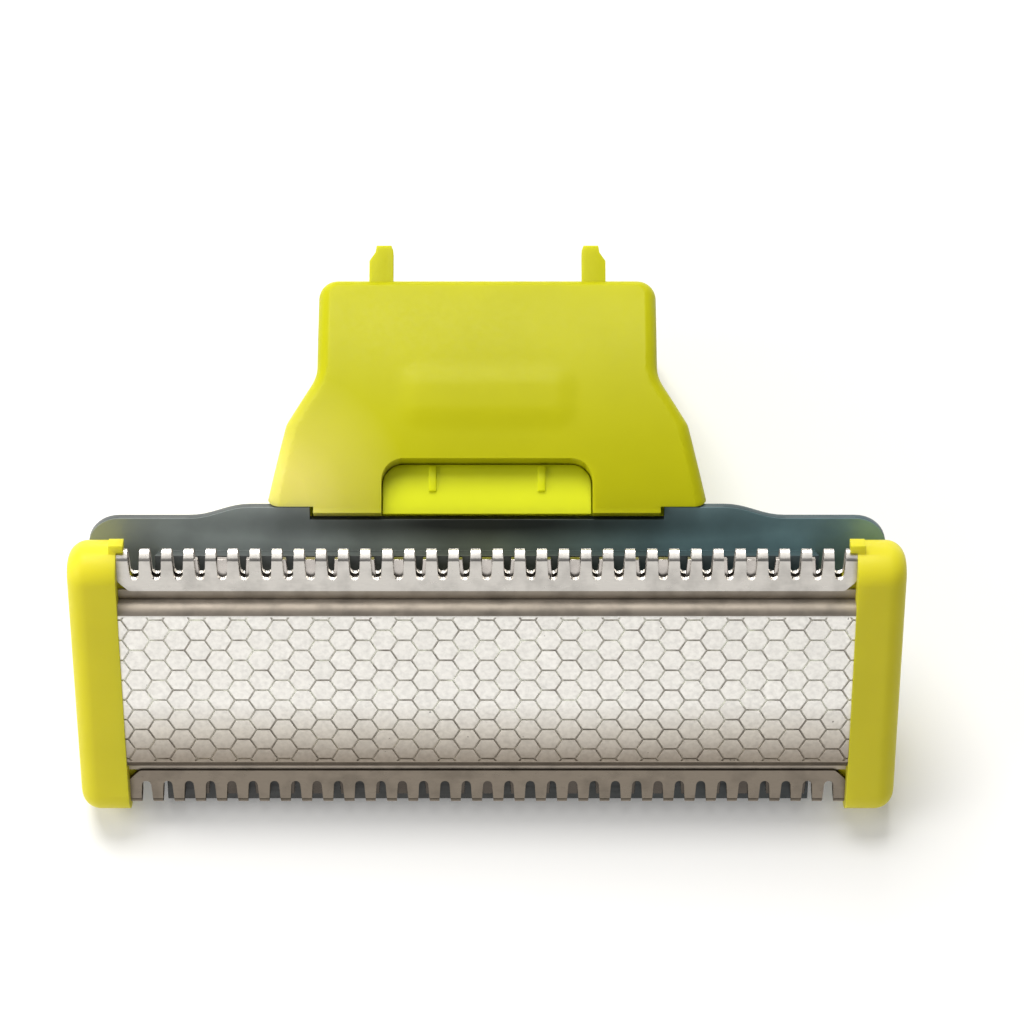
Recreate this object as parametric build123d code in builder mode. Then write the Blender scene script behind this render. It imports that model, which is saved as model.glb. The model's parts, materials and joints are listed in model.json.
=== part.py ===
from build123d import *
import os
from math import ceil, cos, degrees, radians, sin, sqrt

os.makedirs("parts", exist_ok=True)

# Blade unit: x runs along the blades, u across them, n out of the shaving face
width = 34.3
tilt = 45.0
guard_width = 2.05
guard_reach = 6.35
guard_offset = -0.1
guard_proud = 0.12
guard_round = 1.2
guard_back_round = 2.1
guard_edge = 0.8
shelf_width = 0.55
hook_width = 0.3
hook_length = 0.34
hook_gauge = 0.6
hook_drop = 0.65
peg_r = 0.45
peg_reach = 2.8

plate_width = 8.0
plate_gauge = 0.25
plate_roll = 0.45
plate_height = 0.75
cell_side = 0.565
cell_line = 0.085
cell_depth = 0.05

comb_drop = 0.6
comb_gauge = 0.22
comb_slot = 0.30
comb_reach = 6.2
comb_lap = 4.45
comb_foot = 4.0
comb_chamfer = 0.45
lip_drop = 0.1
fold_cut = 0.25
tooth_pitch = 0.9
comb_end = 0.5
gap_depth = 1.22
gap_root = 0.38
gap_tip = 0.52

cutter_gauge = 0.24
cutter_pitch = 1.2
cutter_reach = 5.8
cutter_root = 4.6
cutter_end_gap = 0.65
cutter_window = 5.0
cutter_tooth_root = 0.62
cutter_tooth_tip = 0.42
stroke = 1.2

carrier_drop = 3.2
carrier_gauge = 0.8
carrier_lap = 1.4
carrier_bevel = 0.5
carrier_top = 6.9
carrier_shoulder = 6.37
carrier_low = 4.85
carrier_wave = 1.6
rail_inner = 4.1
rail_foot = 4.8
rail_upper = 5.7
rail_lower = 6.4
rail_end_gap = 0.95

# Holder: origin at the middle of its flat back, neck towards +Y
holder_length = 10.5
holder_wall = 1.0
back_gauge = 1.0
neck_half = 7.05
neck_corner = 0.8
flare_half = 8.3
base_half = 9.15
front_rise = 2.74
crown_rise = 0.75
neck_drop = 0.2
front_round = 0.6
inner_cover_gauge = 0.7
panel_drop = 0.35
panel_gauge = 0.2
panel_space = 0.05
rib_spacing = 4.5
rib_width = 0.3
rib_rise = 0.12
pad_width = 7.3
pad_length = 2.6
pad_rise = 0.1
notch_width = 8.7
notch_depth = 2.2
tab_width = 14.3
tab_drop = 0.26
tab_gauge = 0.55
prong_inner = 3.95
prong_width = 1.0
prong_length = 1.5
prong_gauge = 0.85

# Swivel and drive
pivot_u = 2.6
pivot_n = 6.2
swivel_pin_r = 0.7
ear_r = 1.5
lug_r = 1.3
lug_width = 1.3
lug_inner = 6.2
lever_pin_r = 0.75
lever_arm = 3.4
lever_gauge = 1.4
lever_hub_r = 1.6
lever_neck = 1.1
nose_r = 1.0
drive_slot = 2.2
drive_reach = 3.5
bridge_length = 12.0
bridge_gauge = 0.8
bridge_low = 2.6
fork_wall = 0.85
stake_r = 0.6
spring_gauge = 0.2
spring_x = 4.0
spring_width = 1.6
spring_reach = 0.3
rivet_r = 0.4
bow_half = 7.0
bow_width = 1.2

# Clearances
running_gap = 0.05
press_gap = 0.01
slide_gap = 0.02
nose_gap = 0.06
stop_gap = 0.08
cover_gap = 0.03
cover_space = 0.3

# Derived positions
ct = cos(radians(tilt))
st = sin(radians(tilt))
guard_inner = width / 2 - guard_width
guard_low = guard_reach - guard_offset - guard_back_round
blade_z = guard_low * st + (carrier_drop - guard_back_round) * ct + guard_back_round
front_base = blade_z + front_rise
front_neck = front_base - neck_drop
front_crown = front_base + crown_rise
gap_count = 2 * int((guard_inner - comb_end) / tooth_pitch) + 1
cutter_length = 2 * (guard_inner - shelf_width - stroke / 2 - cutter_end_gap)
cutter_teeth = 2 * int((cutter_length - cutter_tooth_root + cutter_pitch) / 2 / cutter_pitch)
carrier_length = 2 * (guard_inner + carrier_lap)
carrier_crest = 0.62 * carrier_length / 2
carrier_dip = carrier_crest + carrier_wave
rail_length = 2 * (guard_inner - shelf_width - rail_end_gap)
stake_spacing = 0.75 * bridge_length
window_spacing = (cutter_length + stake_spacing) / 2
neck_end = holder_length / 2
base_back = -holder_length / 2
comb_height = 2 * comb_gauge + comb_slot
comb_bottom = comb_drop + comb_height
fold_u = comb_reach - fold_cut
lip_u = plate_width / 2 + cover_gap
lip_top = comb_drop + lip_drop
slot_end = cutter_reach + 0.08
slot_top = comb_drop + comb_gauge
slot_bottom = slot_top + comb_slot
cutter_top = slot_top + slide_gap
cutter_bottom = cutter_top + cutter_gauge
bridge_bottom = cutter_bottom + bridge_gauge
carrier_back = carrier_drop + carrier_gauge
cutter_x = stroke / 2
stop_u = carrier_top + stop_gap
stop_y = stop_u / st - (front_base - blade_z)
base_edge = base_back + 0.6
blade_y = base_edge - stop_y
blade_origin = (0, blade_y, blade_z)
pivot_y = blade_y + pivot_u * ct + pivot_n * st
pivot_z = blade_z + pivot_u * st - pivot_n * ct
lever_y = pivot_y + lever_arm
lever_angle = degrees(stroke / 2 / lever_arm)
lever_low = pivot_z - lever_gauge / 2
front_inner = front_base - holder_wall
inner_cover_top = front_inner - cover_gap
inner_cover_low = inner_cover_top - inner_cover_gauge
flare_start = neck_end - 4.4
flare_end = neck_end - 6.45
ear_n = pivot_n - ear_r
ear_top_y = blade_y + stop_u * ct + ear_n * st
ear_top_z = blade_z + stop_u * st - ear_n * ct
ear_low_y = blade_y + pivot_u * ct + ear_n * st
ear_low_z = blade_z + pivot_u * st - ear_n * ct
ear_nose = pivot_y - ear_r
tab_edge = base_edge - tab_drop
notch_top = tab_edge + notch_depth
pad_y = notch_top + 1.32 + pad_length / 2
inner_cover_near = blade_y + (carrier_back + cover_space + (inner_cover_top - blade_z) * ct) / st
inner_cover_far = flare_start + 0.4
inner_cover_drop = inner_cover_gauge * ct / st
panel_top = front_base - panel_drop
panel_near = tab_edge + panel_space
panel_far = notch_top - panel_space
panel_width = notch_width - 2 * panel_space
pin_seat = 0.6 * inner_cover_gauge
carrier_notch = (tab_edge - blade_y) * ct + (front_base - tab_gauge - blade_z) * st - 0.1
panel_foot = blade_y + (carrier_notch + carrier_back - carrier_bevel) * ct + cover_space
opening_half = stroke / 2 + nose_r + nose_gap + fork_wall + 0.25
spring_tip_y = blade_y + spring_reach * ct + (carrier_back + slide_gap) * st
spring_tip_z = blade_z + spring_reach * st - (carrier_back + slide_gap) * ct
spring_bend_y = base_back + 0.2
spring_run = spring_tip_y - spring_bend_y
spring_climb = spring_tip_z - back_gauge - spring_gauge
spring_length = sqrt(spring_run**2 + spring_climb**2)
rivet_y = base_back + 1.8
carrier_mid = (carrier_crest + carrier_dip) / 2

blade = Plane(origin=blade_origin, x_dir=(1, 0, 0), z_dir=(0, -st, ct))
side = Plane(origin=blade_origin, x_dir=(0, ct, st), z_dir=(1, 0, 0))
cross = Plane(origin=blade_origin, x_dir=(1, 0, 0), z_dir=(0, ct, st))

# Holder shell: plan outline cut to the side outline, open at both ends and at the back
with BuildPart() as holder_shell:
    with BuildSketch(Plane.XY) as shell_plan:
        with BuildLine():
            Polyline(
                (0, neck_end),
                (neck_half, neck_end),
                (neck_half, flare_start),
                (flare_half, flare_end),
                (base_half, base_edge),
                (base_half, ear_nose),
                (0, ear_nose),
                (0, neck_end),
            )
        make_face()
        mirror(about=Plane.YZ)
        fillet(shell_plan.vertices().group_by(Axis.Y)[-1], neck_corner)
        fillet(shell_plan.vertices().filter_by_position(Axis.Y, flare_start - 0.1, flare_start + 0.1), 1.6)
        fillet(shell_plan.vertices().filter_by_position(Axis.Y, flare_end - 0.1, flare_end + 0.1), 1.0)
    extrude(amount=front_crown + 1)
    with BuildSketch(Plane.YZ) as shell_side:
        with BuildLine():
            Polyline(
                (ear_low_y, ear_low_z),
                (ear_top_y, ear_top_z),
                (base_edge, front_base),
            )
            ThreePointArc(
                (base_edge, front_base),
                ((base_edge + neck_end) / 2, front_crown),
                (neck_end, front_neck),
            )
            Polyline(
                (neck_end, front_neck),
                (neck_end, 0),
                (base_back, 0),
                (base_back, pivot_z - ear_r),
                (pivot_y, pivot_z - ear_r),
            )
            ThreePointArc(
                (pivot_y, pivot_z - ear_r),
                (pivot_y - ear_r * cos(radians(22.5)), pivot_z - ear_r * sin(radians(22.5))),
                (ear_low_y, ear_low_z),
            )
        make_face()
    extrude(amount=base_half + 1, both=True, mode=Mode.INTERSECT)
    crown_edges = holder_shell.faces().sort_by(Axis.Z)[-1].edges()
    fillet(crown_edges.filter_by_position(Axis.Y, base_edge + 0.5, neck_end), front_round)
    with BuildSketch(Plane.XY) as shell_cavity:
        with BuildLine():
            Polyline(
                (0, neck_end + 1),
                (neck_half - holder_wall, neck_end + 1),
                (neck_half - holder_wall, flare_start),
                (flare_half - holder_wall, flare_end),
                (base_half - holder_wall, base_edge),
                (base_half - holder_wall, ear_nose - 1),
                (0, ear_nose - 1),
                (0, neck_end + 1),
            )
        make_face()
        mirror(about=Plane.YZ)
    extrude(amount=front_inner, mode=Mode.SUBTRACT)
    with BuildSketch(Plane.XY.offset(front_base)):
        with Locations((0, (tab_edge + base_edge + 1) / 2)):
            Rectangle(tab_width, base_edge + 1 - tab_edge)
    extrude(amount=-tab_gauge)
    with BuildSketch(Plane.XY.offset(front_base)) as pad:
        with Locations((0, pad_y)):
            RectangleRounded(pad_width, pad_length, 0.9)
    extrude(amount=front_crown + pad_rise - front_base)
    chamfer(holder_shell.faces().sort_by(Axis.Z)[-1].edges(), 0.8 * pad_rise)
    with BuildSketch(Plane.XY.offset(inner_cover_top)) as notch:
        with Locations((0, notch_top - notch_depth)):
            Rectangle(notch_width, 2 * notch_depth)
        fillet(notch.vertices().group_by(Axis.Y)[-1], 0.9)
    extrude(amount=front_crown, mode=Mode.SUBTRACT)
    with BuildSketch(Plane.XY.offset(front_inner)):
        with BuildLine():
            Polyline(
                (prong_inner, neck_end - 0.3),
                (prong_inner + prong_width, neck_end - 0.3),
                (prong_inner + prong_width, neck_end + 0.55 * prong_length),
                (prong_inner + 0.75 * prong_width, neck_end + 0.8 * prong_length),
                (prong_inner + 0.7 * prong_width, neck_end + prong_length),
                (prong_inner + 0.08 * prong_width, neck_end + prong_length),
                (prong_inner, neck_end + 0.85 * prong_length),
                (prong_inner, neck_end - 0.3),
            )
        make_face()
        mirror(about=Plane.YZ)
    extrude(amount=prong_gauge - 0.15)
    with BuildSketch(Plane.YZ):
        with Locations((pivot_y, pivot_z)):
            Circle(swivel_pin_r + press_gap)
    extrude(amount=base_half + 1, both=True, mode=Mode.SUBTRACT)

# Inner cover: plate across the shell behind the notch, holds the upper end of the lever pin
with BuildPart() as inner_cover:
    with BuildSketch(Plane.XY.offset(inner_cover_low)):
        with BuildLine():
            Polyline(
                (0, inner_cover_far),
                (neck_half - holder_wall - cover_gap, inner_cover_far),
                (neck_half - holder_wall - cover_gap, flare_start),
                (flare_half - holder_wall - cover_gap, flare_end),
                (base_half - holder_wall - cover_gap, base_edge),
                (base_half - holder_wall - cover_gap, base_back),
                (0, base_back),
                (0, inner_cover_far),
            )
        make_face()
        mirror(about=Plane.YZ)
    extrude(amount=inner_cover_gauge)
    with BuildSketch(Plane.YZ):
        Polygon(
            (inner_cover_far, inner_cover_low),
            (inner_cover_far, inner_cover_top),
            (inner_cover_near, inner_cover_top),
            (inner_cover_near - inner_cover_drop, inner_cover_low),
            align=None,
        )
    extrude(amount=base_half, both=True, mode=Mode.INTERSECT)
    with BuildSketch(Plane.XY.offset(inner_cover_low)) as panel:
        with Locations((0, panel_foot)):
            Rectangle(panel_width, panel_far - panel_foot, align=(Align.CENTER, Align.MIN))
        fillet(panel.vertices().group_by(Axis.Y)[-1], 0.85)
    extrude(amount=panel_top - inner_cover_low)
    with BuildSketch(Plane.XY.offset(panel_top)):
        with Locations((0, panel_near)):
            Rectangle(panel_width, 1, align=(Align.CENTER, Align.MIN))
    extrude(amount=-panel_gauge)
    with BuildSketch(Plane.XY.offset(panel_top)):
        with Locations((0, panel_far - 0.1)):
            with GridLocations(rib_spacing, 1, 2, 1):
                Rectangle(rib_width, (panel_far - panel_near) / 2, align=(Align.CENTER, Align.MAX))
    extrude(amount=rib_rise)
    with BuildSketch(Plane.XY.offset(inner_cover_low)):
        with Locations((0, lever_y)):
            Circle(lever_pin_r + press_gap)
    extrude(amount=pin_seat, mode=Mode.SUBTRACT)

# Back cover: closes the holder from behind, with the boss of the lever pin
with BuildPart() as holder_back:
    with BuildSketch(Plane.XY):
        with BuildLine():
            Polyline(
                (0, neck_end),
                (neck_half - holder_wall - cover_gap, neck_end),
                (neck_half - holder_wall - cover_gap, flare_start),
                (flare_half - holder_wall - cover_gap, flare_end),
                (base_half - holder_wall - cover_gap, base_edge),
                (base_half - holder_wall - cover_gap, base_back),
                (0, base_back),
                (0, neck_end),
            )
        make_face()
        mirror(about=Plane.YZ)
    extrude(amount=back_gauge)
    with BuildSketch(Plane.XY.offset(back_gauge)):
        with Locations((0, lever_y)):
            Circle(lever_hub_r)
    extrude(amount=lever_low - back_gauge - 0.1)
    with BuildSketch(Plane.XY.offset(back_gauge)):
        with Locations((0, rivet_y)):
            with GridLocations(2 * spring_x + spring_width, 1, 2, 1):
                Circle(rivet_r)
    extrude(amount=spring_gauge + 0.15)
    with BuildSketch(Plane.XY.offset(back_gauge / 2)):
        with Locations((0, lever_y)):
            Circle(lever_pin_r + press_gap)
    extrude(amount=lever_low, mode=Mode.SUBTRACT)

# Lever pin: fixed in the back cover and in the inner cover
with BuildPart() as lever_pin:
    with BuildSketch(Plane.XY.offset(back_gauge / 2)):
        with Locations((0, lever_y)):
            Circle(lever_pin_r)
    extrude(amount=inner_cover_low + pin_seat - back_gauge / 2)

# Drive lever: rocker with a round nose for the cutter and a fork for the handle's pin
lever_plane = Plane(
    origin=(0, lever_y, lever_low),
    x_dir=(cos(radians(lever_angle)), sin(radians(lever_angle)), 0),
    z_dir=(0, 0, 1),
)
with BuildPart() as drive_lever:
    with BuildSketch(lever_plane) as lever_outline:
        Circle(lever_hub_r)
        with Locations((0, -lever_arm / 2)):
            Rectangle(lever_neck, lever_arm)
        with Locations((0, -lever_arm)):
            Circle(nose_r)
        with Locations((0, drive_reach / 2)):
            Rectangle(drive_slot + 2.2, drive_reach)
        with Locations((0, drive_reach)):
            SlotOverall(2 * (drive_reach - lever_pin_r - 0.75), drive_slot, rotation=90, mode=Mode.SUBTRACT)
        Circle(lever_pin_r + running_gap, mode=Mode.SUBTRACT)
    extrude(amount=lever_gauge)

# Swivel pins: fixed in the ears of the shell, the lugs of the carrier turn on them
with BuildPart() as swivel_pin_right:
    with BuildSketch(Plane.YZ.offset(lug_inner - 0.3)):
        with Locations((pivot_y, pivot_z)):
            Circle(swivel_pin_r)
    extrude(amount=base_half - lug_inner + 0.3)

with BuildPart() as swivel_pin_left:
    mirror(swivel_pin_right.part, about=Plane.YZ)

# Tilt springs: leaves held on the back cover, their tips behind the carrier
with BuildPart() as tilt_spring_right:
    with BuildSketch(Plane.YZ.offset(spring_x)):
        with BuildLine():
            Polyline(
                (base_back + 3.4, back_gauge),
                (base_back + 3.4, back_gauge + spring_gauge),
                (spring_bend_y, back_gauge + spring_gauge),
                (spring_tip_y, spring_tip_z),
                (
                    spring_tip_y - spring_climb / spring_length * spring_gauge,
                    spring_tip_z + spring_run / spring_length * spring_gauge,
                ),
                (spring_bend_y - 0.05, back_gauge),
                (base_back + 3.4, back_gauge),
            )
        make_face()
    extrude(amount=spring_width)
    with BuildSketch(Plane.XY.offset(back_gauge)):
        with Locations((spring_x + spring_width / 2, rivet_y)):
            Circle(rivet_r + slide_gap)
    extrude(amount=spring_gauge, mode=Mode.SUBTRACT)

with BuildPart() as tilt_spring_left:
    mirror(tilt_spring_right.part, about=Plane.YZ)

# Carrier: plate behind the blades, rails under the combs, lugs for the swivel
with BuildPart() as carrier:
    with BuildSketch(blade.offset(-carrier_drop)) as carrier_outline:
        with BuildLine():
            Polyline(
                (0, carrier_notch),
                (tab_width / 2 + 0.15, carrier_notch),
                (tab_width / 2 + 0.15, carrier_top),
                (carrier_crest, carrier_top),
                (carrier_dip, carrier_shoulder),
                (carrier_length / 2, carrier_shoulder),
                (carrier_length / 2, -carrier_low),
                (0, -carrier_low),
                (0, carrier_notch),
            )
        make_face()
        mirror(about=Plane.YZ)
        fillet(carrier_outline.vertices().group_by(Axis.X)[0], 1.3)
        fillet(carrier_outline.vertices().group_by(Axis.X)[-1], 1.3)
        wave = carrier_outline.vertices().filter_by(lambda v: abs(abs(v.X) - carrier_mid) < 1)
        fillet(wave, 3.0)
    extrude(amount=-carrier_gauge)
    chamfer(carrier.faces().sort_by(Axis(blade_origin, (0, -st, ct)))[0].edges(), carrier_bevel)
    with BuildSketch(side.offset(-rail_length / 2)):
        Polygon(
            (rail_inner, -comb_bottom),
            (rail_upper, -comb_bottom),
            (rail_foot, -carrier_drop),
            (rail_inner, -carrier_drop),
            align=None,
        )
        Polygon(
            (-rail_inner, -comb_bottom),
            (-rail_inner, -carrier_drop),
            (-rail_foot, -carrier_drop),
            (-rail_lower, -comb_bottom),
            align=None,
        )
    extrude(amount=rail_length)
    with BuildSketch(blade.offset(-carrier_drop)):
        with Locations((0, pivot_u)):
            Rectangle(2 * opening_half, 2.5)
        with GridLocations(2 * (guard_inner + peg_r + 0.05), 2 * peg_reach, 2, 2):
            Circle(peg_r + slide_gap)
    extrude(amount=-carrier_gauge, mode=Mode.SUBTRACT)
    with BuildSketch(side.offset(lug_inner), side.offset(-lug_inner - lug_width)):
        with Locations((pivot_u, -pivot_n)):
            Circle(lug_r)
        with Locations((pivot_u, -(pivot_n + carrier_back) / 2)):
            Rectangle(2 * lug_r, pivot_n - carrier_back)
        with Locations((pivot_u, -pivot_n)):
            Circle(swivel_pin_r + running_gap, mode=Mode.SUBTRACT)
    extrude(amount=lug_width)

# End guards: bars over the ends of the blades, pegged into the carrier
with BuildPart() as end_guard_right:
    with BuildSketch(side.offset(guard_inner)) as guard_outline:
        with Locations((guard_offset, (guard_proud - carrier_drop) / 2)):
            Rectangle(2 * guard_reach, guard_proud + carrier_drop)
        fillet(guard_outline.vertices().group_by(Axis.Y)[0], guard_back_round)
        fillet(guard_outline.vertices().group_by(Axis.Y)[-1], guard_round)
    extrude(amount=guard_width)
    fillet(end_guard_right.faces().sort_by(Axis.X)[-1].edges(), guard_edge)
    with BuildSketch(side.offset(guard_inner - shelf_width)):
        with Locations((0, -(slot_top + slot_bottom) / 2)):
            Rectangle(2 * (comb_reach - gap_depth), comb_slot)
        with Locations((0, -(plate_gauge + slot_bottom) / 2)):
            Rectangle(plate_width - 2 * plate_gauge - 0.3, slot_bottom - plate_gauge)
    extrude(amount=shelf_width + 0.3)
    with BuildSketch(side.offset(guard_inner - hook_width)):
        with Locations((comb_reach + slide_gap, -hook_drop)):
            Rectangle(hook_length, hook_gauge, align=(Align.MIN, Align.MAX))
    extrude(amount=2 * hook_width)
    with BuildSketch(side.offset(guard_inner)):
        with Locations((comb_reach + hook_length, -hook_drop)):
            Rectangle(3 * hook_length, hook_gauge, align=(Align.MAX, Align.MAX))
    extrude(amount=hook_width)
    with BuildSketch(blade.offset(-carrier_drop)):
        with Locations((guard_inner + peg_r + 0.05, 0)):
            with GridLocations(1, 2 * peg_reach, 1, 2):
                Circle(peg_r)
    extrude(amount=-carrier_gauge)

with BuildPart() as end_guard_left:
    mirror(end_guard_right.part, about=Plane.YZ)

# Combs: sheet folded over at the tips, slotted through both layers
with BuildPart() as upper_comb:
    with BuildSketch(side.offset(-guard_inner)):
        with BuildLine():
            Polyline(
                (comb_lap, -comb_drop),
                (fold_u, -comb_drop),
                (comb_reach, -comb_drop - fold_cut),
                (comb_reach, -comb_bottom + fold_cut),
                (fold_u, -comb_bottom),
                (comb_foot, -comb_bottom),
                (comb_foot, -slot_bottom),
                (slot_end, -slot_bottom),
                (slot_end, -slot_top),
                (lip_u, -slot_top),
                (lip_u, -lip_top),
                (comb_lap, -lip_top),
                (comb_lap, -comb_drop),
            )
        make_face()
    extrude(amount=2 * guard_inner)
    with BuildSketch(blade):
        with Locations((0, comb_reach - gap_depth)):
            with GridLocations(tooth_pitch, tooth_pitch, gap_count, 1):
                Polygon(
                    (-gap_root / 4, 0),
                    (gap_root / 4, 0),
                    (gap_root / 2, gap_root / 3),
                    (gap_tip / 2, gap_depth + 0.1),
                    (-gap_tip / 2, gap_depth + 0.1),
                    (-gap_root / 2, gap_root / 3),
                    align=None,
                )
    extrude(amount=-comb_bottom - 0.1, mode=Mode.SUBTRACT)
    with BuildSketch(blade.offset(-comb_drop)):
        Polygon(
            (guard_inner, comb_lap),
            (guard_inner - comb_chamfer, comb_lap),
            (guard_inner, comb_lap + comb_chamfer),
            align=None,
        )
        mirror(about=Plane.YZ)
    extrude(amount=-comb_gauge, mode=Mode.SUBTRACT)

with BuildPart() as lower_comb:
    mirror(upper_comb.part, about=cross)

# Honeycomb plate: channel with rolled long edges, cells parted by etched lines
cell_height = cell_side * sqrt(3)
cell_columns = 2 * ceil(guard_inner / (3 * cell_side)) + 1
cell_rows = 2 * int(plate_width / 2 / cell_height) + 1
with BuildPart() as honeycomb_plate:
    with BuildSketch(side.offset(-guard_inner)) as channel:
        with Locations((0, -plate_height)):
            Rectangle(plate_width, 2 * plate_height)
        fillet(channel.vertices().group_by(Axis.Y)[-1], plate_roll)
        with Locations((0, -plate_height)):
            Rectangle(plate_width, plate_height, align=(Align.CENTER, Align.MAX), mode=Mode.SUBTRACT)
        with Locations((0, -plate_gauge - plate_height)):
            RectangleRounded(
                plate_width - 2 * plate_gauge,
                2 * plate_height,
                plate_roll - plate_gauge,
                mode=Mode.SUBTRACT,
            )
    extrude(amount=2 * guard_inner)
    with BuildSketch(blade):
        Rectangle(2 * guard_inner, plate_width - 2 * plate_roll)
        with GridLocations(3 * cell_side, cell_height, cell_columns, cell_rows):
            RegularPolygon(cell_side - cell_line / sqrt(3), 6, mode=Mode.SUBTRACT)
        with GridLocations(3 * cell_side, cell_height, cell_columns + 1, cell_rows - 1):
            RegularPolygon(cell_side - cell_line / sqrt(3), 6, mode=Mode.SUBTRACT)
    extrude(amount=-cell_depth, mode=Mode.SUBTRACT)

# Pressure spring: bowed leaf between the carrier and the bridge
with BuildPart() as pressure_spring:
    with BuildSketch(cross.offset(-1.9)):
        with BuildLine():
            ThreePointArc(
                (-bow_half, carrier_drop),
                (0, bridge_bottom + slide_gap + spring_gauge),
                (bow_half, carrier_drop),
            )
            Line((bow_half, carrier_drop), (bow_half, carrier_drop - spring_gauge))
            ThreePointArc(
                (bow_half, carrier_drop - spring_gauge),
                (0, bridge_bottom + slide_gap),
                (-bow_half, carrier_drop - spring_gauge),
            )
            Line((-bow_half, carrier_drop - spring_gauge), (-bow_half, carrier_drop))
        make_face()
    extrude(amount=bow_width)

# Cutter blade: slides under the combs, shown at the right end of its stroke
with BuildPart() as cutter_blade:
    with BuildSketch(blade.offset(-cutter_top)):
        with Locations((cutter_x, 0)):
            Rectangle(cutter_length, 2 * cutter_root)
            with GridLocations(window_spacing, 1, 2, 1):
                Rectangle(cutter_window, cutter_window, mode=Mode.SUBTRACT)
            with GridLocations(stake_spacing, 1, 2, 1):
                Circle(stake_r + slide_gap, mode=Mode.SUBTRACT)
        with Locations((cutter_x, cutter_root)):
            with GridLocations(cutter_pitch, 1, cutter_teeth, 1):
                Polygon(
                    (-cutter_tooth_root / 2, -0.1),
                    (cutter_tooth_root / 2, -0.1),
                    (cutter_tooth_tip / 2, cutter_reach - cutter_root),
                    (-cutter_tooth_tip / 2, cutter_reach - cutter_root),
                    align=None,
                )
        with Locations((cutter_x, -cutter_root)):
            with GridLocations(cutter_pitch, 1, cutter_teeth, 1):
                Polygon(
                    (cutter_tooth_root / 2, 0.1),
                    (-cutter_tooth_root / 2, 0.1),
                    (-cutter_tooth_tip / 2, cutter_root - cutter_reach),
                    (cutter_tooth_tip / 2, cutter_root - cutter_reach),
                    align=None,
                )
    extrude(amount=-cutter_gauge)

# Drive bridge: staked under the cutter, its fork takes the nose of the lever
with BuildPart() as drive_bridge:
    with BuildSketch(blade.offset(-cutter_bottom)):
        with Locations((cutter_x, (pivot_u + 1 - bridge_low) / 2)):
            Rectangle(bridge_length, pivot_u + 1 + bridge_low)
    extrude(amount=-bridge_gauge)
    with BuildSketch(blade.offset(-cutter_bottom)):
        with Locations((cutter_x, 0)):
            with GridLocations(stake_spacing, 1, 2, 1):
                Circle(stake_r)
    extrude(amount=cutter_gauge)
    with BuildSketch(blade.offset(-bridge_bottom)):
        with Locations((cutter_x, pivot_u)):
            Rectangle(2 * (nose_r + nose_gap + fork_wall), 2.0)
    extrude(amount=bridge_bottom - pivot_n - 1.1)
    with BuildSketch(blade.offset(-pivot_n + nose_r + 0.3)):
        with Locations((cutter_x, pivot_u)):
            Rectangle(2 * (nose_r + nose_gap), 3.0)
    extrude(amount=-nose_r - 2, mode=Mode.SUBTRACT)

holder_shell.part.label = "holder_shell"
export_step(holder_shell.part, "parts/holder_shell.step")
inner_cover.part.label = "inner_cover"
export_step(inner_cover.part, "parts/inner_cover.step")
holder_back.part.label = "holder_back"
export_step(holder_back.part, "parts/holder_back.step")
lever_pin.part.label = "lever_pin"
export_step(lever_pin.part, "parts/lever_pin.step")
drive_lever.part.label = "drive_lever"
export_step(drive_lever.part, "parts/drive_lever.step")
swivel_pin_left.part.label = "swivel_pin_left"
export_step(swivel_pin_left.part, "parts/swivel_pin_left.step")
swivel_pin_right.part.label = "swivel_pin_right"
export_step(swivel_pin_right.part, "parts/swivel_pin_right.step")
tilt_spring_left.part.label = "tilt_spring_left"
export_step(tilt_spring_left.part, "parts/tilt_spring_left.step")
tilt_spring_right.part.label = "tilt_spring_right"
export_step(tilt_spring_right.part, "parts/tilt_spring_right.step")
carrier.part.label = "carrier"
export_step(carrier.part, "parts/carrier.step")
end_guard_left.part.label = "end_guard_left"
export_step(end_guard_left.part, "parts/end_guard_left.step")
end_guard_right.part.label = "end_guard_right"
export_step(end_guard_right.part, "parts/end_guard_right.step")
upper_comb.part.label = "upper_comb"
export_step(upper_comb.part, "parts/upper_comb.step")
lower_comb.part.label = "lower_comb"
export_step(lower_comb.part, "parts/lower_comb.step")
honeycomb_plate.part.label = "honeycomb_plate"
export_step(honeycomb_plate.part, "parts/honeycomb_plate.step")
pressure_spring.part.label = "pressure_spring"
export_step(pressure_spring.part, "parts/pressure_spring.step")
cutter_blade.part.label = "cutter_blade"
export_step(cutter_blade.part, "parts/cutter_blade.step")
drive_bridge.part.label = "drive_bridge"
export_step(drive_bridge.part, "parts/drive_bridge.step")
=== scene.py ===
import json
import math

import bmesh
import bpy
from mathutils import Matrix, Vector, noise


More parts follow.
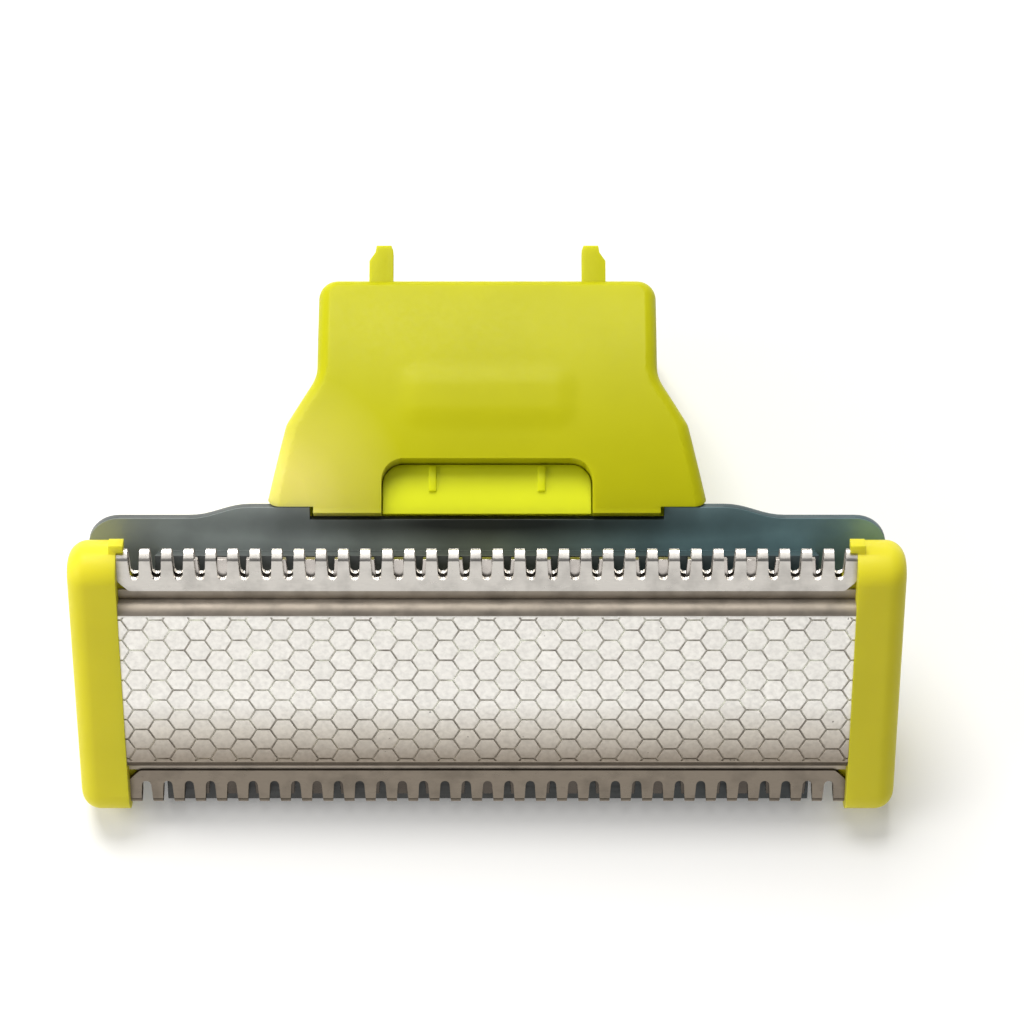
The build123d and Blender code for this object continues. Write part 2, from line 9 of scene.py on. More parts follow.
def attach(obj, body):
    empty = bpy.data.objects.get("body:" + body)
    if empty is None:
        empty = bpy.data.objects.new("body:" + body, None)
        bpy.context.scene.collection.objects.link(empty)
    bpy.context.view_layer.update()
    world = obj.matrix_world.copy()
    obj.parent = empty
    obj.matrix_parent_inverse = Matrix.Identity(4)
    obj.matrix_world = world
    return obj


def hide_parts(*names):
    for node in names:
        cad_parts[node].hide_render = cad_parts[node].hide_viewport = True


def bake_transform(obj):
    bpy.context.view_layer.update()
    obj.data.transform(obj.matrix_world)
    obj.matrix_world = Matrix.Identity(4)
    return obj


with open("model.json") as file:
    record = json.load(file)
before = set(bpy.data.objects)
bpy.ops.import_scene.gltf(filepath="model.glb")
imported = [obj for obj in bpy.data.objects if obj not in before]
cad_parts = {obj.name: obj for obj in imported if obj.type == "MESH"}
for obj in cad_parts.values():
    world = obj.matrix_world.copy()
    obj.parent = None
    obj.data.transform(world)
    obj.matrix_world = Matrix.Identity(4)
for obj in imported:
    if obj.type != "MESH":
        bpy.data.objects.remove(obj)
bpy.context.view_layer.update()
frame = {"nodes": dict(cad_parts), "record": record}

bl_info = {
    "name": "Shaver head",
    "version": (1, 0, 0),
    "blender": (4, 5, 0),
    "location": "3D View > Sidebar > Shaver head",
    "description": "Dresses the shaver head around its packed solids",
    "category": "Object",
}

MM = 0.001
TILT = math.radians(45)
ACROSS = Vector((0, math.cos(TILT), math.sin(TILT)))
OUTWARD = Vector((0, -math.sin(TILT), math.cos(TILT)))
RIGHT = Vector((1, 0, 0))
BLADE_PLANES = (RIGHT, ACROSS, OUTWARD)
CROWN_POINTS = ((-4.65 * MM, 8.694 * MM), (0.30 * MM, 9.444 * MM), (5.25 * MM, 8.494 * MM))
PAD_MIDDLE = Vector((0, -0.09 * MM))
PAD_HALF = Vector((3.65 * MM, 1.3 * MM))
PAD_GRID = 0.25 * MM
PAD_MARGIN = 0.6 * MM
CROWN_FLOOR = 8.3 * MM
CUT_TOLERANCE = 0.001 * MM
# Centre and reach of the painted sheen, a pale reflection on the holder's lower left corner.
SHEEN_CORNER = Vector((-8.4 * MM, -4.2 * MM, 8.8 * MM))
SHEEN_REACH = 5.2 * MM
# Place and reach of the painted shadow that the holder's tab casts on the carrier.
TAB_ACROSS = 6.1 * MM
TAB_DEPTH = 3.2 * MM
TAB_SHADE_REACH = 1.05 * MM
PAINTED_LIGHT_HALF_LENGTH = 15 * MM
RAIL_DEPTH = 3.1 * MM
ROLL_WIDTH = 0.44 * MM
STRIP_DEPTH = 0.66 * MM
ETCH_DEPTHS = (0.01 * MM, 0.07 * MM)
SHARP_ANGLE = math.radians(38)
AIM_ACROSS = 0.5 * MM
AIM_UP = 6.94 * MM
AIM_RIGHT = 1.03 * MM
LIGHT_TARGET = Vector((0, -5 * MM, 5 * MM))
LAMPS = (  # name, place, width and height in metres, power in watts
    ("Key", (-0.06, 0.26, 0.29), 0.22, 0.22, 1.75),
    ("Top card", (0.0, 0.10, 0.39), 0.14, 0.10, 0.10),
    ("Front card", (-0.05, -0.32, 0.09), 0.40, 0.18, 0.26),
    ("Left card", (-0.075, -0.012, 0.05), 0.04, 0.04, 0.028),
)
GUARD_NODES = ("end_guard_left", "end_guard_right")


class HeadSizes(bpy.types.PropertyGroup):
    lime_round: bpy.props.FloatProperty(
        name="Lime edges", description="Rounding of the moulded lime edges",
        default=0.14 * MM, unit="LENGTH", precision=6,
    )
    dark_round: bpy.props.FloatProperty(
        name="Carrier edges", description="Rounding of the carrier's edges",
        default=0.05 * MM, unit="LENGTH", precision=6,
    )
    fold_round: bpy.props.FloatProperty(
        name="Comb folds", description="Rounding of the folded tooth tips",
        default=0.17 * MM, unit="LENGTH", precision=6,
    )
    tooth_round: bpy.props.FloatProperty(
        name="Tooth edges", description="Rounding along the teeth",
        default=0.03 * MM, unit="LENGTH", precision=6,
    )
    pad_fall: bpy.props.FloatProperty(
        name="Thumb pad", description="Width of the soft rim of the thumb pad",
        default=0.9 * MM, unit="LENGTH", precision=6,
    )
    pad_rise: bpy.props.FloatProperty(
        name="Pad rise", description="Height of the thumb pad",
        default=0.10 * MM, unit="LENGTH", precision=6,
    )
    small_round: bpy.props.FloatProperty(
        name="Small edges", description="Rounding of pins, springs and drive pieces",
        default=0.05 * MM, unit="LENGTH", precision=6,
    )


class HeadColours(bpy.types.PropertyGroup):
    lime: bpy.props.FloatVectorProperty(
        name="Lime", description="Moulded holder",
        default=(0.50, 0.485, 0.004), subtype="COLOR", min=0, max=1,
    )
    guard_lime: bpy.props.FloatVectorProperty(
        name="Guard lime", description="End guards",
        default=(0.72, 0.64, 0.03), subtype="COLOR", min=0, max=1,
    )
    # The inner cover's lime is brighter than the holder's, as painted light shining through the panel in the
    # notch.
    cover_lime: bpy.props.FloatVectorProperty(
        name="Cover lime", description="Inner cover in the notch",
        default=(0.72, 0.75, 0.006), subtype="COLOR", min=0, max=1,
    )
    # Colour of the painted sheen on the holder's lower left corner.
    sheen_lime: bpy.props.FloatVectorProperty(
        name="Sheen lime", description="Pale corner of the holder",
        default=(0.78, 0.70, 0.15), subtype="COLOR", min=0, max=1,
    )
    carrier: bpy.props.FloatVectorProperty(
        name="Carrier", description="Dark carrier plate",
        default=(0.36, 0.40, 0.38), subtype="COLOR", min=0, max=1,
    )
    plate: bpy.props.FloatVectorProperty(
        name="Plate steel", description="Honeycomb plate",
        default=(0.91, 0.88, 0.82), subtype="COLOR", min=0, max=1,
    )
    etch: bpy.props.FloatVectorProperty(
        name="Etched lines", description="Lines between the cells",
        default=(0.84, 0.79, 0.71), subtype="COLOR", min=0, max=1,
    )
    upper_comb: bpy.props.FloatVectorProperty(
        name="Upper comb", description="Folded upper comb",
        default=(0.57, 0.54, 0.495), subtype="COLOR", min=0, max=1,
    )
    # The lower comb is darker as painted shade: it faces away from the light toward the shadowed floor.
    lower_comb: bpy.props.FloatVectorProperty(
        name="Lower comb", description="Darker lower comb",
        default=(0.20, 0.168, 0.132), subtype="COLOR", min=0, max=1,
    )
    # The strip's darker colour is painted shade in the sunk groove beside the plate.
    strip: bpy.props.FloatVectorProperty(
        name="Comb strip", description="Shadowed strip beside the plate",
        default=(0.43, 0.375, 0.31), subtype="COLOR", min=0, max=1,
    )
    rolled: bpy.props.FloatVectorProperty(
        name="Rolled edge", description="Rolled long edges of the plate",
        default=(0.36, 0.315, 0.26), subtype="COLOR", min=0, max=1,
    )
    cutter: bpy.props.FloatVectorProperty(
        name="Cutter steel", description="Moving cutter",
        default=(0.52, 0.48, 0.44), subtype="COLOR", min=0, max=1,
    )
    pin: bpy.props.FloatVectorProperty(
        name="Pin steel", description="Pins of the lever and the swivel",
        default=(0.66, 0.66, 0.66), subtype="COLOR", min=0, max=1,
    )
    spring: bpy.props.FloatVectorProperty(
        name="Spring steel", description="Leaf springs",
        default=(0.52, 0.52, 0.53), subtype="COLOR", min=0, max=1,
    )
    drive: bpy.props.FloatVectorProperty(
        name="Drive plastic", description="Lever and bridge",
        default=(0.80, 0.80, 0.76), subtype="COLOR", min=0, max=1,
    )


class StageSettings(bpy.types.PropertyGroup):
    floor: bpy.props.FloatVectorProperty(
        name="Floor", description="Pale floor",
        default=(0.90, 0.885, 0.855), subtype="COLOR", min=0, max=1,
    )
    floor_lift: bpy.props.FloatProperty(
        name="Floor lift", description="Light added to the floor as it is seen, up to white",
        default=0.12,
    )
    camera_height: bpy.props.FloatProperty(
        name="Camera height", description="Angle of the camera above the floor",
        default=math.radians(75.6), subtype="ANGLE",
    )
    camera_distance: bpy.props.FloatProperty(
        name="Camera distance", description="Camera to the middle of the blades",
        default=152.4 * MM, unit="LENGTH",
    )
    lens: bpy.props.FloatProperty(name="Lens", description="Focal length in millimetres", default=129.7)


def sizes():
    return bpy.context.scene.head_sizes


def colours():
    return bpy.context.scene.head_colours


def plate_span(direction):
    """Lowest and highest reach of the honeycomb plate along a direction."""
    reach = [v.co.dot(direction) for v in frame["nodes"]["honeycomb_plate"].data.vertices]
    return min(reach), max(reach)


def blade_middle():
    """Middle of the shaving face, which is the outer face of the honeycomb plate."""
    return sum(plate_span(ACROSS)) / 2 * ACROSS + plate_span(OUTWARD)[1] * OUTWARD


def plate_half():
    """Half the width of the honeycomb plate across the blades."""
    low, high = plate_span(ACROSS)
    return (high - low) / 2


def merged_copy(node):
    """A bmesh of a CAD node with its loose triangles joined and its flat faces whole."""
    bm = bmesh.new()
    bm.from_mesh(frame["nodes"][node].data)
    bmesh.ops.remove_doubles(bm, verts=bm.verts, dist=0.0004 * MM)
    bmesh.ops.dissolve_limit(
        bm, angle_limit=math.radians(0.6), verts=bm.verts, edges=bm.edges, use_dissolve_boundaries=False
    )
    return bm


def edges_between(bm, low, high):
    """Edges whose faces meet at an angle between low and high degrees."""
    return [
        e
        for e in bm.edges
        if len(e.link_faces) == 2 and math.radians(low) < e.calc_face_angle(0) < math.radians(high)
    ]


def circle_through(first, second, third):
    """Centre, on the plane x = 0, and radius of the circle through three (y, z) points."""
    (ay, az), (by, bz), (cy, cz) = first, second, third
    twice_area = 2 * (ay * (bz - cz) + by * (cz - az) + cy * (az - bz))
    a, b, c = ay * ay + az * az, by * by + bz * bz, cy * cy + cz * cz
    y = (a * (bz - cz) + b * (cz - az) + c * (az - bz)) / twice_area
    z = (a * (cy - by) + b * (ay - cy) + c * (by - ay)) / twice_area
    return Vector((0, y, z)), math.hypot(ay - y, az - z)


def on_pad(place):
    """Whether a point of the holder's front lies on the thumb pad."""
    offset = Vector((place.x, place.y)) - PAD_MIDDLE
    return place.z > CROWN_FLOOR and all(abs(away) < half + 0.1 * MM for away, half in zip(offset, PAD_HALF))


def pad_height(x, y):
    """Rise of the soft, round-cornered thumb pad above the crowned front."""
    fall = sizes().pad_fall
    beyond = [max(abs(away) - half + fall, 0) for away, half in zip(Vector((x, y)) - PAD_MIDDLE, PAD_HALF)]
    share = min(math.hypot(*beyond) / (1.3 * fall), 1)
    return sizes().pad_rise * (1 - share * share * (3 - 2 * share))


def round_edges(bm, edges, width, segments):
    bmesh.ops.bevel(
        bm,
        geom=edges,
        offset=width,
        offset_type="OFFSET",
        segments=segments,
        profile=0.5,
        affect="EDGES",
        clamp_overlap=True,
        material=-1,
        miter_outer="ARC",
    )


def finish_piece(bm, name, node, materials, planes=(), bend=None):
    """Makes the bmesh a piece in place of a CAD node: faces square to the planes are flat, the rest smooth.

    A piece with a bend, from a first to a last point, is attached to no body and keeps its place with its
    transform baked; the points themselves are not used."""
    mesh = bpy.data.meshes.new(name)
    bm.to_mesh(mesh)
    bm.free()
    for material in materials:
        mesh.materials.append(material)
    piece = bpy.data.objects.new(name, mesh)
    bpy.context.collection.objects.link(piece)
    mesh.set_sharp_from_angle(angle=SHARP_ANGLE)
    for face in mesh.polygons:
        face.use_smooth = not any(abs(face.normal.dot(plane)) > 0.9999 for plane in planes)
    if bend:
        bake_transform(piece)
    else:
        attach(piece, body_of_node(node))
    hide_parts(node)
    return piece


def even_shading(piece):
    """Lets the large faces of a piece lead its shading."""
    weighted = piece.modifiers.new("Even shading", "WEIGHTED_NORMAL")
    weighted.keep_sharp = True
    weighted.weight = 60


def body_of_node(node):
    bodies = frame["record"]["behaviour"]["bodies"]
    return next(body for body, nodes in bodies.items() if node in nodes)


def new_material(name):
    material = bpy.data.materials.new(name)
    material.use_nodes = True
    nodes = material.node_tree.nodes
    links = material.node_tree.links
    return material, nodes, links, nodes["Principled BSDF"]


def object_noise(nodes, links, scale, detail, stretch=(1, 1, 1)):
    """Noise on Object coordinates, scale in features per metre."""
    coordinates = nodes.new("ShaderNodeTexCoord")
    mapping = nodes.new("ShaderNodeMapping")
    mapping.inputs["Scale"].default_value = stretch
    pattern = nodes.new("ShaderNodeTexNoise")
    pattern.inputs["Scale"].default_value = scale
    pattern.inputs["Detail"].default_value = detail
    links.new(coordinates.outputs["Object"], mapping.inputs["Vector"])
    links.new(mapping.outputs["Vector"], pattern.inputs["Vector"])
    return pattern.outputs["Fac"]


def ramp(nodes, links, source, stops):
    """Colour ramp of (position, colour) stops."""
    node = nodes.new("ShaderNodeValToRGB")
    band = node.color_ramp
    while len(band.elements) < len(stops):
        band.elements.new(0.5)
    for element, (position, colour) in zip(band.elements, stops):
        element.position = position
        element.color = (*colour, 1)
    links.new(source, node.inputs["Fac"])
    return node.outputs["Color"]


def grey(value):
    return (value, value, value)


def bump(nodes, links, shader, height, distance, strength=1.0):
    node = nodes.new("ShaderNodeBump")
    node.inputs["Strength"].default_value = strength
    node.inputs["Distance"].default_value = distance
    links.new(height, node.inputs["Height"])
    links.new(node.outputs["Normal"], shader.inputs["Normal"])


def multiply(nodes, links, first, second):
    """Product of two colours."""
    node = nodes.new("ShaderNodeVectorMath")
    node.operation = "MULTIPLY"
    links.new(first, node.inputs[0])
    links.new(second, node.inputs[1])
    return node.outputs["Vector"]


def shaded(colour, factor):
    return tuple(min(1, v * factor) for v in colour)


def across_blades(nodes, links):
    """Runs from 0 at the lower edge of the honeycomb plate to 1 at its upper edge."""
    middle = blade_middle().dot(ACROSS)
    coordinates = nodes.new("ShaderNodeTexCoord")
    distance = nodes.new("ShaderNodeVectorMath")
    distance.operation = "DOT_PRODUCT"
    distance.inputs[1].default_value = ACROSS
    links.new(coordinates.outputs["Object"], distance.inputs[0])
    span = nodes.new("ShaderNodeMapRange")
    span.inputs["From Min"].default_value = middle - plate_half()
    span.inputs["From Max"].default_value = middle + plate_half()
    links.new(distance.outputs["Value"], span.inputs["Value"])
    return span.outputs["Result"]


def dim_lower(nodes, links, colour, lower_share):
    """Dims a colour to a share of itself toward the lower edge of the blades, as painted shade."""
    painted_shade = shaded((1.0, 0.92, 0.84), lower_share)
    dimmed = ramp(nodes, links, across_blades(nodes, links), [(0.1, painted_shade), (0.5, grey(1.0))])
    return multiply(nodes, links, colour, dimmed)


def away_from(nodes, links, place, reach, along=1.0):
    """Runs from 0 at a place to 1 at its reach; along shortens the distances in the blades' length."""
    coordinates = nodes.new("ShaderNodeTexCoord")
    mapping = nodes.new("ShaderNodeMapping")
    mapping.inputs["Scale"].default_value = (along, 1, 1)
    distance = nodes.new("ShaderNodeVectorMath")
    distance.operation = "DISTANCE"
    distance.inputs[1].default_value = (along * place.x, place.y, place.z)
    share = nodes.new("ShaderNodeMapRange")
    share.inputs["From Max"].default_value = reach
    links.new(coordinates.outputs["Object"], mapping.inputs["Vector"])
    links.new(mapping.outputs["Vector"], distance.inputs[0])
    links.new(distance.outputs["Value"], share.inputs["Value"])
    return share.outputs["Result"]


def lime_plastic(name, colour, glow, painted_sheen=None):
    """Satin lime moulding.

    glow is the share of light that goes through the wall, and painted_sheen the colour of a painted sheen, a
    pale reflection on one corner."""
    material, nodes, links, shader = new_material(name)
    flow = ramp(nodes, links, object_noise(nodes, links, 170, 3), [(0.35, grey(0.93)), (0.65, grey(1.0))])
    # Painted sheen: the colour turns pale toward the corner, standing in for a reflection.
    distance = away_from(nodes, links, SHEEN_CORNER, SHEEN_REACH)
    pale = painted_sheen or colour
    halfway = tuple(0.55 * own + 0.45 * surface_colour for own, surface_colour in zip(colour, pale))
    tone = ramp(nodes, links, distance, [(0.18, pale), (0.5, halfway), (1.0, colour)])
    links.new(multiply(nodes, links, tone, flow), shader.inputs["Base Color"])
    grain = object_noise(nodes, links, 5200, 3)
    links.new(ramp(nodes, links, grain, [(0.3, grey(0.40)), (0.7, grey(0.50))]), shader.inputs["Roughness"])
    shader.inputs["Specular IOR Level"].default_value = 0.14
    shader.inputs["Subsurface Weight"].default_value = glow
    shader.inputs["Subsurface Radius"].default_value = (1.0, 0.95, 0.12)
    shader.inputs["Subsurface Scale"].default_value = 1.1 * MM
    bump(nodes, links, shader, grain, 0.003 * MM, 0.4)
    return material


def dark_plastic(name, base, lower_share=1.0):
    """Slate plastic with fine clouds of grime and faint streaks, and along its length painted reflection and
    shade: lighter at the left end, olive in the middle, bluish at the right.

    It has a painted shadow under the holder's tab, and lower_share dims it toward the lower edge of the
    blades as painted shade."""
    material, nodes, links, shader = new_material(name)
    cloud = object_noise(nodes, links, 420, 4)
    clouded = ramp(nodes, links, cloud, [(0.35, shaded(base, 0.84)), (0.68, shaded(base, 1.15))])
    coordinates = nodes.new("ShaderNodeTexCoord")
    parts = nodes.new("ShaderNodeSeparateXYZ")
    links.new(coordinates.outputs["Object"], parts.inputs["Vector"])
    length = nodes.new("ShaderNodeMapRange")
    length.inputs["From Min"].default_value = -PAINTED_LIGHT_HALF_LENGTH
    length.inputs["From Max"].default_value = PAINTED_LIGHT_HALF_LENGTH
    links.new(parts.outputs["X"], length.inputs["Value"])
    # Painted reflection and shade along the carrier's length: lighter at the left end, darker olive in the
    # middle, bluish at the right.
    painted_light_stops = [
        (0.0, grey(0.95)),
        (0.25, grey(0.9)),
        (0.5, (0.54, 0.56, 0.42)),
        (0.75, (0.46, 0.66, 0.72)),
        (1.0, (0.5, 0.74, 0.84)),
    ]
    painted_light_along = ramp(nodes, links, length.outputs["Result"], painted_light_stops)
    # Painted shadow of the holder's tab on the carrier below it.
    tab = blade_middle() + TAB_ACROSS * ACROSS - TAB_DEPTH * OUTWARD
    from_tab = away_from(nodes, links, tab, TAB_SHADE_REACH, 0.08)
    painted_tab_shadow = ramp(nodes, links, from_tab, [(0.2, grey(0.10)), (1.0, grey(1.0))])
    clouds_with_painted_light = multiply(nodes, links, clouded, painted_light_along)
    if lower_share < 1:
        clouds_with_painted_light = dim_lower(nodes, links, clouds_with_painted_light, lower_share)
    links.new(multiply(nodes, links, clouds_with_painted_light, painted_tab_shadow), shader.inputs["Base Color"])
    streak = object_noise(nodes, links, 9000, 4, (0.12, 1, 1))
    links.new(ramp(nodes, links, streak, [(0.35, grey(0.34)), (0.7, grey(0.50))]), shader.inputs["Roughness"])
    bump(nodes, links, shader, object_noise(nodes, links, 6500, 5), 0.005 * MM, 0.4)
    return material


def satin_steel(name, colour, rough_low, rough_high, grain_scale, lower_share=1.0):
    """Brushed steel with stains; lower_share dims it toward the lower edge of the blades as painted shade."""
    material, nodes, links, shader = new_material(name)
    grain = object_noise(nodes, links, grain_scale, 5, (0.25, 1, 1))
    stain = object_noise(nodes, links, 1100, 3)
    stains_and_painted_shade = ramp(nodes, links, stain, [(0.32, grey(0.80)), (0.55, grey(1.0))])
    brushed = ramp(nodes, links, grain, [(0.3, shaded(colour, 0.88)), (0.7, colour)])
    if lower_share < 1:
        stains_and_painted_shade = dim_lower(nodes, links, stains_and_painted_shade, lower_share)
    links.new(multiply(nodes, links, brushed, stains_and_painted_shade), shader.inputs["Base Color"])
    roughness = ramp(nodes, links, grain, [(0.3, grey(rough_low)), (0.7, grey(rough_high))])
    links.new(roughness, shader.inputs["Roughness"])
    shader.inputs["Metallic"].default_value = 1.0
    bump(nodes, links, shader, grain, 0.003 * MM, 0.35)
    return material


def painted_lower_shade(nodes, links, lift=1.0):
    """Painted shade that deepens toward the lower edge of the honeycomb plate, where it would reflect the
    shadowed floor; lift brightens its deepest part.
    """
    stops = [
        (0.02, shaded((0.28, 0.24, 0.20), lift)),
        (0.10, shaded((0.40, 0.36, 0.32), lift)),
        (0.24, (0.68, 0.65, 0.61)),
        (0.42, grey(0.98)),
        (1.0, grey(0.98)),
    ]
    return ramp(nodes, links, across_blades(nodes, links), stops)


def cell_steel():
    """Satin steel: each cell has its own tone, the lower margin darkens with painted shade, a few specks lie
    on it.
    """
    material, nodes, links, shader = new_material("Honeycomb steel")
    colour = colours().plate
    tone = nodes.new("ShaderNodeAttribute")
    tone.attribute_name = "cell_tone"
    cells = ramp(nodes, links, tone.outputs["Fac"], [(0.0, shaded(colour, 0.90)), (1.0, colour)])
    # Painted shade toward the lower edge of the plate.
    margin = painted_lower_shade(nodes, links)
    mottle = ramp(nodes, links, object_noise(nodes, links, 5200, 4), [(0.30, grey(0.86)), (0.62, grey(1.0))])
    speck = ramp(nodes, links, object_noise(nodes, links, 3600, 1), [(0.79, grey(1.0)), (0.82, grey(0.35))])
    cells_with_painted_shade = multiply(nodes, links, cells, margin)
    surface_colour = multiply(nodes, links, cells_with_painted_shade, multiply(nodes, links, mottle, speck))
    links.new(surface_colour, shader.inputs["Base Color"])
    grain = object_noise(nodes, links, 9000, 5)
    links.new(ramp(nodes, links, grain, [(0.3, grey(0.36)), (0.7, grey(0.48))]), shader.inputs["Roughness"])
    shader.inputs["Metallic"].default_value = 1.0
    bump(nodes, links, shader, grain, 0.004 * MM, 0.5)
    return material


def etched_steel():
    """Dull floor of the lines between the cells."""
    material, nodes, links, shader = new_material("Etched lines")
    etch = colours().etch
    wear = object_noise(nodes, links, 1500, 3)
    surface_colour = ramp(nodes, links, wear, [(0.3, shaded(etch, 0.7)), (0.7, shaded(etch, 1.3))])
    # The lines darken toward the lower edge with the same painted shade.
    links.new(multiply(nodes, links, surface_colour, painted_lower_shade(nodes, links, 1.5)), shader.inputs["Base Color"])
    shader.inputs["Roughness"].default_value = 0.7
    shader.inputs["Metallic"].default_value = 0.6
    return material


def drive_plastic():
    material, nodes, links, shader = new_material("Drive plastic")
    shader.inputs["Base Color"].default_value = (*colours().drive, 1)
    grain = object_noise(nodes, links, 4000, 3)
    links.new(ramp(nodes, links, grain, [(0.3, grey(0.36)), (0.7, grey(0.46))]), shader.inputs["Roughness"])
    return material


class SHAVER_OT_holder(bpy.types.Operator):
    """Lime holder: shell with a soft thumb pad, back cover and the inner cover, brighter as painted light"""

    bl_idname = "shaver.holder"
    bl_label = "Holder"

    def execute(self, context):
        self.add_shell()
        lime = lime_plastic("Cover lime", colours().lime, 0.45)
        # Brighter lime for the inner cover: painted light shining through the panel.
        bright = lime_plastic("Panel lime", colours().cover_lime, 0.6)
        for node, finish in (("holder_back", lime), ("inner_cover", bright)):
            bm = merged_copy(node)
            round_edges(bm, edges_between(bm, 28, 140), sizes().small_round, 2)
            even_shading(finish_piece(bm, node + "_soft", node, [finish]))
        return {"FINISHED"}

    def add_shell(self):
        lime = lime_plastic("Holder lime", colours().lime, 0.45, colours().sheen_lime)
        bm = merged_copy("holder_shell")
        self.flatten_pad(bm)
        round_edges(bm, edges_between(bm, 50, 140), sizes().lime_round, 3)
        self.raise_pad(bm)
        piece = finish_piece(bm, "holder_shell_soft", "holder_shell", [lime])
        even_shading(piece)
        evened = piece.evaluated_get(bpy.context.evaluated_depsgraph_get())
        normals = [corner.vector.copy() for corner in evened.data.corner_normals]
        piece.modifiers.clear()
        self.shade_crown(piece.data, normals)

    def flatten_pad(self, bm):
        """Lays the stepped thumb pad down on the crowned front."""
        centre, radius = circle_through(*CROWN_POINTS)
        for vert in bm.verts:
            arm = Vector((0, vert.co.y, vert.co.z)) - centre
            if on_pad(vert.co) and arm.length > radius + 0.05 * MM:
                vert.co = Vector((vert.co.x, 0, 0)) + centre + arm.normalized() * radius
        bmesh.ops.remove_doubles(bm, verts=[v for v in bm.verts if on_pad(v.co)], dist=0.02 * MM)

    def raise_pad(self, bm):
        """Cuts the crowned front into a fine grid and lifts the thumb pad out of it with a soft rim."""
        centre, radius = circle_through(*CROWN_POINTS)
        for direction, middle, half in zip((RIGHT, Vector((0, 1, 0))), PAD_MIDDLE, PAD_HALF):
            reach = half + PAD_MARGIN
            steps = round(2 * reach / PAD_GRID)
            for step in range(steps + 1):
                place = middle + reach * (2 * step / steps - 1)
                faces = [f for f in bm.faces if f.normal.z > 0.9 and f.calc_center_median().z > CROWN_FLOOR]
                edges = {e for f in faces for e in f.edges}
                verts = {v for f in faces for v in f.verts}
                bmesh.ops.bisect_plane(
                    bm,
                    geom=[*faces, *edges, *verts],
                    dist=CUT_TOLERANCE,
                    plane_co=direction * place,
                    plane_no=direction,
                )
        for vert in bm.verts:
            arm = Vector((0, vert.co.y, vert.co.z)) - centre
            if abs(arm.length - radius) < (0.15 if on_pad(vert.co) else 0.012) * MM:
                reach = radius + pad_height(vert.co.x, vert.co.y)
                vert.co = Vector((vert.co.x, 0, 0)) + centre + arm.normalized() * reach

    def shade_crown(self, mesh, normals):
        """Turns the shading of the crowned front to its true arc and the slope of the pad's rim."""
        centre, radius = circle_through(*CROWN_POINTS)
        step = 0.01 * MM
        for face in mesh.polygons:
            for loop in face.loop_indices:
                place = mesh.vertices[mesh.loops[loop].vertex_index].co
                arm = Vector((0, place.y, place.z)) - centre
                rise = pad_height(place.x, place.y)
                up = arm.normalized()
                if abs(arm.length - radius - rise) < 0.005 * MM and face.normal.dot(up) > 0.75:
                    across = (pad_height(place.x + step, place.y) - rise) / step
                    along = (pad_height(place.x, place.y + step) - rise) / step
                    normals[loop] = (up - across * RIGHT - along * Vector((0, up.z, -up.y))).normalized()
        mesh.normals_split_custom_set(normals)


class SHAVER_OT_guards(bpy.types.Operator):
    """Lime guards over the ends of the blades"""

    bl_idname = "shaver.guards"
    bl_label = "End guards"

    def execute(self, context):
        lime = lime_plastic("Guard lime", colours().guard_lime, 0.4)
        for node in GUARD_NODES:
            bm = merged_copy(node)
            round_edges(bm, edges_between(bm, 28, 140), sizes().lime_round, 3)
            even_shading(finish_piece(bm, node + "_soft", node, [lime]))
        return {"FINISHED"}


class SHAVER_OT_carrier(bpy.types.Operator):
    """Dark carrier behind the blades, its rails in deeper shade"""

    bl_idname = "shaver.carrier"
    bl_label = "Carrier"

    def execute(self, context):
        bm = merged_copy("carrier")
        middle = blade_middle()
        for face in bm.faces:
            depth = -(face.calc_center_median() - middle).dot(OUTWARD)
            face.material_index = 1 if depth < RAIL_DEPTH or abs(face.normal.dot(OUTWARD)) < 0.8 else 0
        round_edges(bm, edges_between(bm, 28, 140), sizes().dark_round, 2)
        base = colours().carrier
        # The rails take a darker copy of the carrier plastic, painted deeper shade, dimmed further toward the
        # lower edge.
        rail = dark_plastic("Rail plastic", shaded(base, 0.30), 0.3)
        finishes = [dark_plastic("Carrier plastic", base), rail]
        finish_piece(bm, "carrier_soft", "carrier", finishes, BLADE_PLANES)
        return {"FINISHED"}


class SHAVER_OT_combs(bpy.types.Operator):
    """Folded combs with round tooth tips and a strip beside the plate darkened as painted shade"""

    bl_idname = "shaver.combs"
    bl_label = "Combs"

    def execute(self, context):
        for node in ("upper_comb", "lower_comb"):
            bm = merged_copy(node)
            round_edges(bm, edges_between(bm, 30, 70), sizes().fold_round, 3)
            round_edges(bm, edges_between(bm, 70, 140), sizes().tooth_round, 2)
            self.mark_strip(bm)
            # The lower comb's darker colour is painted shade.
            colour = getattr(colours(), node)
            title = node.replace("_", " ")
            # The strip's darker steel is painted shade for the sunk groove beside the plate.
            finishes = [
                satin_steel(title + " steel", colour, 0.26, 0.36, 7000),
                satin_steel(title + " strip", colours().strip, 0.44, 0.54, 3000),
            ]
            finish_piece(bm, node + "_soft", node, finishes, BLADE_PLANES)
        return {"FINISHED"}

    def mark_strip(self, bm):
        """Gives the sunk strip beside the honeycomb plate the second material."""
        middle = blade_middle()
        reach = plate_half() + ROLL_WIDTH
        for face in bm.faces:
            place = face.calc_center_median() - middle
            sunk = -place.dot(OUTWARD) > STRIP_DEPTH
            if sunk and abs(place.dot(ACROSS)) < reach and face.normal.dot(OUTWARD) > 0.5:
                face.material_index = 1


